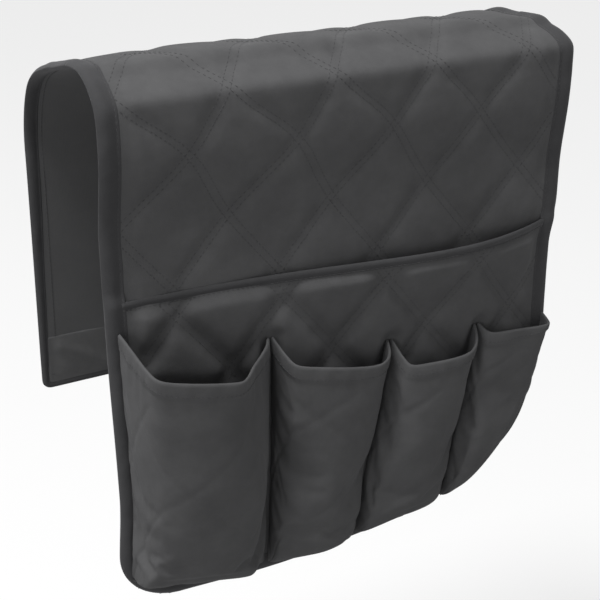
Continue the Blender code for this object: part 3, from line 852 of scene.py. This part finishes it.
def over_fold(obj):
    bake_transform(obj)


def ply(name, low, high, inset, material, cell, seed, replaced):
    """A plain cloth of the saddle, in two pieces that meet on the top."""
    columns = np.linspace(0, 1, round(2 * HALF_WIDTH / cell) + 1)
    for front, nodes in zip((True, False), replaced):
        bottom = bottom_of(front) - inset
        down = np.linspace(0, bottom, round(bottom / cell) + 1)[:, None]
        left, right = (side_reach(down, front, right, inset) for right in (False, True))
        across = -left + (left + right) * columns
        along = down * (1 if front else -1) + across * 0
        ripple = RIPPLE * noise(across, along, RIPPLE_CELL, seed) * fade(down - RIPPLE_START, RIPPLE_LENGTH)
        quads = grid_quads(*across.shape)
        points = np.stack((across, along, high + ripple), axis=2).reshape(-1, 3)
        points, quads = refined(points, quads if front else quads[:, ::-1])
        word = "front" if front else "back"
        obj = cloth(f"{name}_{word}", points, quads, high - low, material)
        over_fold(obj)
        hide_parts(*nodes)


def cover_room(across, along):
    """The cover's puffs end at the bindings and fade out behind the pocket."""
    beside = fade(inside_edge(across, along) - TAPE_REACH, PUFF_EDGE)
    behind = fade(along - MOUTH - BEHIND_POCKET_START, BEHIND_POCKET_LENGTH)
    return beside * (1 - BEHIND_POCKET_LESS * behind)


def saddle_cover():
    sheet = quilted_sheet(-BACK_BOTTOM - HEM_MARGIN, FRONT_BOTTOM + HEM_MARGIN, 0, cover_room)
    points, quads = inside_outline(*sheet)
    starts, ends = quilt_stitches(points, quads, -BACK_BOTTOM, MOUTH + STITCHES_BELOW_MOUTH, 0)
    surface = np.array((0, 0, SADDLE_TOP))
    from_edge = inside_edge(points[:, 0], points[:, 1])
    points[:, 2] -= EDGE_THINNING * (1 - fade(from_edge - THINNING_START, THINNING_LENGTH))
    normals = point_normals(drape(points + surface), quads[:, ::-1])
    in_front = points[quads][:, :, 1].mean(axis=1) > 0
    for front in (True, False):
        word = "front" if front else "back"
        part, part_quads, part_normals = part_of(points + surface, quads, in_front == front, normals)
        obj = cloth(f"quilted_cover_{word}", part, part_quads, CLOTH, COVER, part_normals)
        over_fold(obj)
        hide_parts(*(("top_cover", "front_cover") if front else ("back_cover",)))
        keep = (starts[:, 1] > 0) == front
        lines = starts[keep] + surface, ends[keep] + surface
        threads = stitch_piece(f"quilting_{word}", *lines, "quilted_cover")
        over_fold(threads)


def bindings():
    for front in (True, False):
        word = "front" if front else "back"
        stations = edge_stations(front)
        obj = tape_piece(f"binding_{word}", tape_points(stations, 20 + front))
        over_fold(obj)
        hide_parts(*(("front_edge_binding", "top_left_binding", "top_right_binding") if front
                           else ("back_edge_binding",)))
        lines = join_ends(tape_stitches(stations, 1), tape_stitches(stations, 0))
        threads = stitch_piece(f"binding_stitches_{word}", *lines, "binding_tape")
        over_fold(threads)


# Magazine pocket

# Seams beside the pouches from left to right: places across at top and foot as shares of the width, and how
# far down each starts and ends as shares of the pocket's height
SEAM_TOP_SHARES = (-0.485, -0.179, 0.091, 0.309, 0.494)
SEAM_FOOT_SHARES = (-0.485, -0.197, 0.009, 0.236, 0.470)
SEAM_START_SHARES = (0.090, 0.199, 0.299, 0.318, 0.342)
SEAM_END_SHARES = (0.900, 0.975, 0.975, 0.955, 0.660)
SEAM_INSET = 2 * MM

# Where the pocket's puffs fade: below its mouth's tape, beside the seams and behind the pouches
UNDER_TAPE_START, UNDER_TAPE_LENGTH = MOUTH_TAPE_REACH - 0.5 * MM, 6 * MM
SEAM_START, SEAM_LENGTH = 1 * MM, 8 * MM
BEHIND_LESS, BEHIND_START, BEHIND_LENGTH = 0.6, 22 * MM, 20 * MM
LINING_RIPPLE, LINING_RIPPLE_CELL = 0.3 * MM, 30 * MM
QUILTING_BELOW_RIMS = 60 * MM
MOUTH_TAPE_END_SHARE, MOUTH_TAPE_FULLNESS, MOUTH_TAPE_PUCKER = 0.9, 0.35, 0.25
MOUTH_TAPE_INNER_GAP, MOUTH_STITCH_LIFT = 0.2 * MM, 0.28 * MM


def seam_place(number, share):
    """(across, along) of the seam on the left of a pouch, or on the right of the last one."""
    top, foot = SEAM_TOP_SHARES[number], SEAM_FOOT_SHARES[number]
    start, end = SEAM_START_SHARES[number], SEAM_END_SHARES[number]
    across = 2 * HALF_WIDTH * (top + (foot - top) * share)
    along = MOUTH + POCKET_HEIGHT * (start + (end - start) * share)
    left, right = side_reach(along, True, False), side_reach(along, True, True)
    return np.clip(across, SEAM_INSET - left, right - SEAM_INSET), along


def pouch_line(across):
    """How far down the tops of the pouches lie at a place across."""
    tops = [seam_place(number, 0.0) for number in range(len(SEAM_TOP_SHARES))]
    return np.interp(across, [float(t[0]) for t in tops], [float(t[1]) for t in tops])


def seam_distance(across, along):
    """Distance across from a place to the nearest pouch seam."""
    nearest = np.full(np.shape(across), 1.0)
    for number in range(len(SEAM_TOP_SHARES)):
        start = MOUTH + POCKET_HEIGHT * SEAM_START_SHARES[number]
        end = MOUTH + POCKET_HEIGHT * SEAM_END_SHARES[number]
        share = np.clip((along - start) / (end - start), 0, 1)
        x, _ = seam_place(number, share)
        gap = np.hypot(across - x, np.maximum(start - along, 0))
        nearest = np.minimum(nearest, gap)
    return nearest


def pocket_room(across, along):
    """How full the pocket's puffs are: not under its tapes and seams, and less behind the pouches."""
    beside = fade(inside_edge(across, along) - TAPE_REACH, PUFF_EDGE)
    under_tape = fade(along - MOUTH - UNDER_TAPE_START, UNDER_TAPE_LENGTH)
    at_seams = fade(seam_distance(across, along) - SEAM_START, SEAM_LENGTH)
    behind_pouches = 1 - BEHIND_LESS * fade(along - pouch_line(across) - BEHIND_START, BEHIND_LENGTH)
    return POCKET_FULLNESS * beside * under_tape * at_seams * behind_pouches


def magazine_pocket():
    sheet = quilted_sheet(MOUTH, FRONT_BOTTOM + HEM_MARGIN, POCKET_QUILT_DROP, pocket_room)
    points, quads = inside_outline(*sheet)
    below_tape = MOUTH + MOUTH_TAPE_REACH
    starts, ends = quilt_stitches(points, quads, below_tape, FRONT_BOTTOM, POCKET_QUILT_DROP)

    def lifted(places):
        bulge = pocket_bulge(places[:, 0], places[:, 1])
        return places + np.column_stack((bulge * 0, bulge * 0, bulge + POCKET_TOP))

    cover = cloth("magazine_pocket_front", lifted(points), quads, CLOTH, COVER)
    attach(cover, "front_drop")
    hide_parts("magazine_pocket_cover")
    above = starts[:, 1] < pouch_line(starts[:, 0]) + QUILTING_BELOW_RIMS
    lines = lifted(starts[above]), lifted(ends[above])
    threads = stitch_piece("magazine_pocket_quilting", *lines, "quilted_cover")
    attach(threads, "front_drop")

    back = points.copy()
    back[:, 2] = LINING_RIPPLE * noise(back[:, 0], back[:, 1], LINING_RIPPLE_CELL, 9)
    back[:, 2] += pocket_bulge(back[:, 0], back[:, 1]) + POCKET_LINING_LOW + PLY
    lining = cloth("magazine_pocket_back", back, quads, LINING_CLOTH, LINING)
    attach(lining, "front_drop")
    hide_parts("magazine_pocket_lining")
    mouth_tape()


def mouth_tape():
    inner = HALF_WIDTH - TAPE_REACH * MOUTH_TAPE_END_SHARE
    places = np.linspace(-inner, inner, round(2 * inner / STITCH_PITCH) + 1)
    bulges = pocket_bulge(places, MOUTH)
    rows = []
    for number, (across, bulge) in enumerate(zip(places, bulges)):
        full = MOUTH_TAPE_FULLNESS * (1 + MOUTH_TAPE_PUCKER * noise(number, 0.0, 2.4, 31))
        row = []
        for inset_share, lift, leg in TAPE_SECTION_SHARES:
            rise = lift * MM * full
            inside = POCKET_LINING_LOW + MOUTH_TAPE_INNER_GAP - rise
            out = leg * (POCKET_TOP + rise) + (1 - leg) * inside
            row.append((across, MOUTH + inset_share * MOUTH_TAPE_REACH, out + bulge))
        rows.append(row)
    obj = tape_piece("magazine_pocket_tape", np.array(rows))
    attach(obj, "front_drop")
    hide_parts("magazine_pocket_binding")
    down = np.full_like(places, MOUTH + TAPE_STITCH_SHARE * MOUTH_TAPE_REACH)
    line = np.column_stack((places, down, bulges + POCKET_TOP + MOUTH_STITCH_LIFT))
    threads = stitch_piece("magazine_pocket_tape_stitches", *along_line(line), "binding_tape")
    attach(threads, "front_drop")


# Pouches

Pouch = namedtuple("Pouch", "name number mouth_reach foot_reach rim_drop foot_drop "
                   "mouth_shares foot_shares crease waist left")

# Sections of a pouch from its left seam to its right one, as shares of its width and of its reach
BOX_SHARES = (
    (0, 0), (0, 0.35), (0, 0.70), (0.02, 0.93), (0.10, 1.0), (0.30, 1.02),
    (0.52, 1.0), (0.72, 0.97), (0.80, 0.82), (0.90, 0.42), (1, 0),
)
BOX_MOUTH_SHARES = (
    (0, 0), (0, 0.35), (0, 0.70), (0.02, 0.93), (0.10, 1.0), (0.30, 1.02),
    (0.48, 1.0), (0.56, 0.96), (0.63, 0.84), (0.72, 0.64), (0.84, 0.40), (0.94, 0.18), (1, 0),
)
SOFT_SHARES = (
    (0, 0), (0.004, 0.30), (0.012, 0.60), (0.03, 0.86), (0.07, 0.97), (0.20, 1.00), (0.50, 1.04),
    (0.72, 0.98), (0.84, 0.82), (0.93, 0.52), (1, 0),
)
SIDE_SHARES = (
    (0, 0), (0.006, 0.30), (0.02, 0.60), (0.05, 0.85), (0.10, 0.97), (0.27, 1.00), (0.50, 1.00),
    (0.72, 1.04), (0.85, 1.04), (0.95, 0.98), (0.99, 0.70), (1, 0),
)

# How much further out a pouch's left edge stands than its middle, from its rim to its foot
LEVELS = (0, 0.25, 0.5, 0.75, 1)
EVEN = (1, 1, 1, 1, 1)
POUCHES = (
    Pouch("remote_pouch", 0, 56 * MM, 28 * MM, 8 * MM, 0, BOX_MOUTH_SHARES, BOX_SHARES, 13 * MM, 0, EVEN),
    Pouch("phone_pouch", 1, 24 * MM, 20 * MM, 10 * MM, 0, SOFT_SHARES, SOFT_SHARES, 4 * MM, 11 * MM,
          (1.12, 1.05, 0.66, 0.66, 0.5)),
    Pouch("pen_pouch", 2, 20 * MM, 15 * MM, 13 * MM, 0, SOFT_SHARES, SOFT_SHARES, 20 * MM, 3 * MM,
          (1.1, 1.05, 1, 0.9, 1)),
    Pouch("glasses_pouch", 3, 12 * MM, 8 * MM, 5 * MM, 14 * MM, SIDE_SHARES, SOFT_SHARES, 35 * MM, 0,
          (1, 1, 1.7, 1.7, 1.2)),
)
POUCH_CELL = 3 * MM
POUCH_GAP, POUCH_STANDOFF, LEAST_REACH = 1.3 * MM, 0.9 * MM, 1.2 * MM
SECTION_CHANGE = 0.6
WAIST_LEVEL, WAIST_HEIGHT = 0.62, 0.10

# The share of its height where a pouch starts to close, and the rows of its grid that do
CLOSING, CLOSING_ROWS = 0.90, 8

# How a pouch is simulated, how far its cloth may move, and how much of its left gusset is held
POUCH_SIM = {"gravity": 0.6, "pressure": 0.3, "swell": 0.014, "bending": 1.5}
MOST_MOVED = 6 * MM
GUSSET_SHARE = 0.8

# A pouch's hem, its quilted creases, and its unevenness as height, cell and first seed
HEM, HEM_EDGE, HEM_LIFT, HEM_THICKER = 9 * MM, 1.4 * MM, 0.8 * MM, 0.9 * MM
HEM_STITCH_INSET, STITCH_DIP, STITCH_DIP_REACH = 1.8 * MM, 0.35 * MM, 0.7 * MM
HEM_THREAD_LIFT = 0.12 * MM
CREASE_DEPTH, CREASE_REACH, CREASE_START, CREASE_LENGTH = 0.5 * MM, 2.5 * MM, 6 * MM, 14 * MM
GRAINS = ((0.4 * MM, 16 * MM, 50), (0.15 * MM, 7 * MM, 60))


def curve_through(shares, count):
    """Points evenly spaced along a smooth curve through a section's shares."""
    control = np.array(shares, float)
    padded = np.vstack((2 * control[0] - control[1], control, 2 * control[-1] - control[-2]))
    dense = []
    for k in range(len(control) - 1):
        p0, p1, p2, p3 = padded[k : k + 4]
        t = np.linspace(0, 1, 20, endpoint=False)[:, None]
        dense.append(0.5 * (2 * p1 + (p2 - p0) * t + (2 * p0 - 5 * p1 + 4 * p2 - p3) * t**2
                            + (3 * p1 - p0 - 3 * p2 + p3) * t**3))
    dense = np.vstack((*dense, control[-1:]))
    lengths = np.concatenate(([0], np.cumsum(np.linalg.norm(np.diff(dense, axis=0), axis=1))))
    wanted = np.linspace(0, lengths[-1], count)
    return np.interp(wanted, lengths, dense[:, 0]), np.interp(wanted, lengths, dense[:, 1])


def pouch_height(pouch):
    return POCKET_HEIGHT * (SEAM_END_SHARES[pouch.number] - SEAM_START_SHARES[pouch.number])


def pouch_grid(pouch):
    """A pouch's points in the flat, a row for each level from its rim to its foot, and the levels."""
    width = 2 * HALF_WIDTH * (SEAM_TOP_SHARES[pouch.number + 1] - SEAM_TOP_SHARES[pouch.number])
    columns = round((width + 1.6 * pouch.mouth_reach) / POUCH_CELL)
    rows = round(pouch_height(pouch) / POUCH_CELL)
    even = np.linspace(0, CLOSING, rows - CLOSING_ROWS, endpoint=False)
    last = CLOSING + (1 - CLOSING) * np.sin(np.linspace(0, pi / 2, CLOSING_ROWS + 1))
    levels = np.concatenate((even, last))
    mouth_w, mouth_r = curve_through(pouch.mouth_shares, columns)
    foot_w, foot_r = curve_through(pouch.foot_shares, columns)
    level = levels[:, None]
    foot_share = fade(level, SECTION_CHANGE)
    w = mouth_w * (1 - foot_share) + foot_w * foot_share
    r = mouth_r * (1 - foot_share) + foot_r * foot_share
    left, left_along = seam_place(pouch.number, level)
    right, right_along = seam_place(pouch.number + 1, level)
    across = left + POUCH_GAP + (right - left - 2 * POUCH_GAP) * w
    waist = pouch.waist * hill(level - WAIST_LEVEL, WAIST_HEIGHT)
    across = across - waist * fade(w - 0.4, 0.35) * fade(1 - w, 0.15)
    bow = 4 * w * (1 - w)
    along = left_along + (right_along - left_along) * w + pouch.rim_drop * r * (1 - level)
    along = along + pouch.foot_drop * bow * level
    closed = np.clip((level - CLOSING) / (1 - CLOSING), 0, 1)
    reach = pouch.mouth_reach + (pouch.foot_reach - pouch.mouth_reach) * level
    reach = reach * np.sqrt(1 - closed**2)
    reach = reach * (1 + (np.interp(level, LEVELS, pouch.left) - 1) * (1 - fade(w - 0.05, 0.55)))
    reach = np.maximum(reach, LEAST_REACH)
    out = POCKET_TOP + POUCH_STANDOFF + pocket_bulge(across, along) + reach * r
    return np.stack((across, along, out), axis=2), levels


def settled_pouch(pouch, grid, quads):
    """A pouch's points after its cloth has settled, with its seams, rim and foot held."""
    points = grid.reshape(-1, 3)
    pinned = np.zeros(grid.shape[:2], bool)
    pinned[:, [0, -1]] = True
    pinned[0] = True
    pinned[-CLOSING_ROWS - 1 :] = True
    if pouch.number > 0:
        pinned[:, : round(GUSSET_SHARE * pouch.foot_reach / POUCH_CELL)] = True
    moved = simulate(points, quads, pinned.ravel(), **POUCH_SIM) - points
    size = np.linalg.norm(moved, axis=1, keepdims=True)
    return points + moved * np.minimum(1, MOST_MOVED / np.maximum(size, 1e-9))


def pouch_piece(pouch):
    grid, levels = pouch_grid(pouch)
    rows, columns, _ = grid.shape
    quads = grid_quads(rows, columns)
    points = settled_pouch(pouch, grid, quads)
    fine, fine_quads = refined(points, quads)
    # The column and row numbers are refined the same way and go with the points.
    side, number = np.tile(np.arange(columns), rows), np.repeat(np.arange(rows), columns)
    places, _ = refined(np.column_stack((side, number, side * 0)).astype(float), quads)
    height = pouch_height(pouch)
    down = np.interp(places[:, 1], np.arange(rows), levels) * height
    round_it = places[:, 0] * POUCH_CELL
    normals = point_normals(fine, fine_quads)
    hem = 1 - fade(down - HEM, HEM_EDGE)
    dip = STITCH_DIP * hill(down - HEM + HEM_STITCH_INSET, STITCH_DIP_REACH)
    grain = sum(size * noise(round_it, down, cell, seed + pouch.number) for size, cell, seed in GRAINS)
    creases = sum(hill(d, CREASE_REACH) for d in stitch_distances(round_it + pouch.crease, down, 0))
    grain -= CREASE_DEPTH * creases * fade(down - HEM - CREASE_START, CREASE_LENGTH)
    fine = fine + normals * (hem * HEM_LIFT - dip + grain * (1 - hem))[:, None]
    thickness = POUCH_THICKNESS + HEM_THICKER * hem
    obj = cloth(pouch.name + "_cloth", fine, fine_quads, thickness, POUCH_CLOTH)
    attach(obj, "front_drop")
    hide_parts(pouch.name)
    diagonals = (points[quads[:, k + 2]] - points[quads[:, k]] for k in (0, 1))
    area = float(np.linalg.norm(np.cross(*diagonals), axis=1).sum() / 2)
    hem_row = np.interp((HEM - HEM_STITCH_INSET) / height, levels, np.arange(rows))
    hem_stitches(pouch, fine, places, hem_row, normals)


def hem_stitches(pouch, fine, places, hem_row, normals):
    """Stitches along the lower edge of the pouch's hem, on the nearest row of the fine points."""
    row = np.flatnonzero(np.abs(places[:, 1] - round(hem_row * 2) / 2) < 0.2)
    row = row[np.argsort(places[row, 0])]
    line = fine[row] + normals[row] * HEM_THREAD_LIFT
    lengths = np.concatenate(([0], np.cumsum(np.linalg.norm(np.diff(line, axis=0), axis=1))))
    starts_at = np.arange(STITCH_PITCH, lengths[-1] - STITCH_PITCH, STITCH_PITCH)

    def at(distance):
        return np.column_stack([np.interp(distance, lengths, line[:, k]) for k in range(3)])

    lines = at(starts_at), at(starts_at + STITCH_PITCH * STITCH_SHARE)
    threads = stitch_piece(pouch.name + "_hem_stitches", *lines, "pouch_cloth")
    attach(threads, "front_drop")


# Hem facing inside the back

FACING_INSET = TAPE_REACH * 0.3
FACING_GAP, FACING_PUFF = 0.15 * MM, 0.3 * MM
FACING_CREASE, CREASE_SPACING, CREASE_WIDTH, CREASE_LEAN = 1.4 * MM, 75 * MM, 0.09, 0.9
FACING_RIPPLE, FACING_RIPPLE_CELL = 0.4 * MM, 26 * MM
FACING_COLUMNS, FACING_ROWS = 121, 16
SEWN_EDGE_SHARE, SEWN_AT_SHARE, SEWN_SIDE, SEWN_SIDE_LENGTH = 0.12, 0.86, 8 * MM, 6 * MM


def hem_facing():
    """The band sewn over the hem, with the slanting creases that the picture shows."""
    start = BACK_BOTTOM - HEM_FACING
    across = np.linspace(-1, 1, FACING_COLUMNS) * (HALF_WIDTH - FACING_INSET)
    rows = []
    for down in np.linspace(start, BACK_BOTTOM - FACING_INSET, FACING_ROWS):
        share = (down - start) / HEM_FACING
        free = fade(share, SEWN_EDGE_SHARE) * fade(SEWN_AT_SHARE - share, SEWN_EDGE_SHARE)
        free = free * fade(HALF_WIDTH - SEWN_SIDE - np.abs(across), SEWN_SIDE_LENGTH)
        slant = (across + HALF_WIDTH) / CREASE_SPACING - share * CREASE_LEAN
        crease = FACING_CREASE * hill(slant - np.round(slant), CREASE_WIDTH)
        ripple = FACING_RIPPLE * noise(across, down, FACING_RIPPLE_CELL, 71)
        lift = -FACING_GAP - (crease + FACING_PUFF + ripple) * free
        rows.append(np.column_stack((across, np.full_like(across, -down), lift)))
    rows = np.array(rows)
    # The facing's shown side looks in, towards the armrest: its rows run up the back, so its quads do too.
    points, quads = refined(rows.reshape(-1, 3), grid_quads(*rows.shape[:2]))
    obj = cloth("hem_facing", points, quads, FACING_CLOTH, FACING)
    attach(obj, "back_drop")
    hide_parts("back_hem_facing")


# Stage

WORLD_STRENGTH = 0.5
LAMP_TARGET = Vector((0, 0, -0.15))
KEY_PLACE, KEY_SIZE, KEY_POWER = (-0.70, -0.15, 1.70), 0.6, 32.5
FILL_PLACE, FILL_SIZE, FILL_POWER = (-1.50, -0.95, 0.05), 1.2, 6.4
FLOOR_SIZE, FLOOR_BELOW, FLOOR_GREY, FLOOR_GLOW = 14, 0.30, 0.34, 0.66


def seen_share(tree):
    """1 for what the camera sees directly, in a mirror or through glass, and 0 for light on the object."""
    path = tree.nodes.new("ShaderNodeLightPath")
    seen = math_node(tree, "MAXIMUM", path.outputs["Is Camera Ray"], path.outputs["Is Glossy Ray"])
    return math_node(tree, "MAXIMUM", seen, path.outputs["Is Transmission Ray"])


def lamp(name, place, size, power):
    light = bpy.data.lights.new(name, "AREA")
    light.shape = "DISK"
    light.size = size
    light.energy = power
    obj = bpy.data.objects.new(name, light)
    bpy.context.scene.collection.objects.link(obj)
    obj.location = place
    obj.rotation_euler = (LAMP_TARGET - obj.location).to_track_quat("-Z", "Y").to_euler()


def stage():
    """A pale floor that shows white but lights the object little, a pale world and two soft lamps."""
    bpy.ops.mesh.primitive_plane_add(size=FLOOR_SIZE, location=(0, 0, cad_low.z - FLOOR_BELOW))
    floor = bpy.context.object
    floor.name = "floor"
    material = bpy.data.materials.new("floor")
    material.use_nodes = True
    tree = material.node_tree
    shader = tree.nodes["Principled BSDF"]
    shader.inputs["Base Color"].default_value = (FLOOR_GREY, FLOOR_GREY, FLOOR_GREY, 1)
    shader.inputs["Roughness"].default_value = 0.9
    shader.inputs["Specular IOR Level"].default_value = 0.0
    shader.inputs["Emission Color"].default_value = (1, 1, 1, 1)
    tree.links.new(mixed(tree, seen_share(tree), 0.0, FLOOR_GLOW), shader.inputs["Emission Strength"])
    floor.data.materials.append(material)

    world = bpy.data.worlds.new("studio")
    bpy.context.scene.world = world
    world.use_nodes = True
    tree = world.node_tree
    background = tree.nodes["Background"]
    background.inputs["Color"].default_value = (1, 1, 1, 1)
    tree.links.new(mixed(tree, seen_share(tree), WORLD_STRENGTH, 1.0), background.inputs["Strength"])

    lamp("key", KEY_PLACE, KEY_SIZE, KEY_POWER)
    lamp("fill", FILL_PLACE, FILL_SIZE, FILL_POWER)


def camera():
    data = bpy.data.cameras.new("camera")
    data.lens = LENS_MM
    data.clip_start = CAMERA_NEAR
    obj = bpy.data.objects.new("camera", data)
    bpy.context.scene.collection.objects.link(obj)
    obj.location = CAMERA_PLACE
    obj.rotation_euler = (radians(90 - CAMERA_PITCH), 0, radians(-CAMERA_AZIMUTH))
    bpy.context.scene.camera = obj


camera()
stage()
bpy.context.scene.view_settings.view_transform = "Standard"
saddle_cover()
ply("lining", 0, PLY, LINING_INSET, LINING, LINING_CELL, 11,
    (("top_lining", "front_lining"), ("back_lining",)))
ply("wadding", WADDING_LOW, WADDING_LOW + WADDING, WADDING_INSET, WADDING_CLOTH, WADDING_CELL, 12,
    (("top_wadding", "front_wadding"), ("back_wadding",)))
bindings()
magazine_pocket()
for pouch in POUCHES:
    pouch_piece(pouch)
hem_facing()
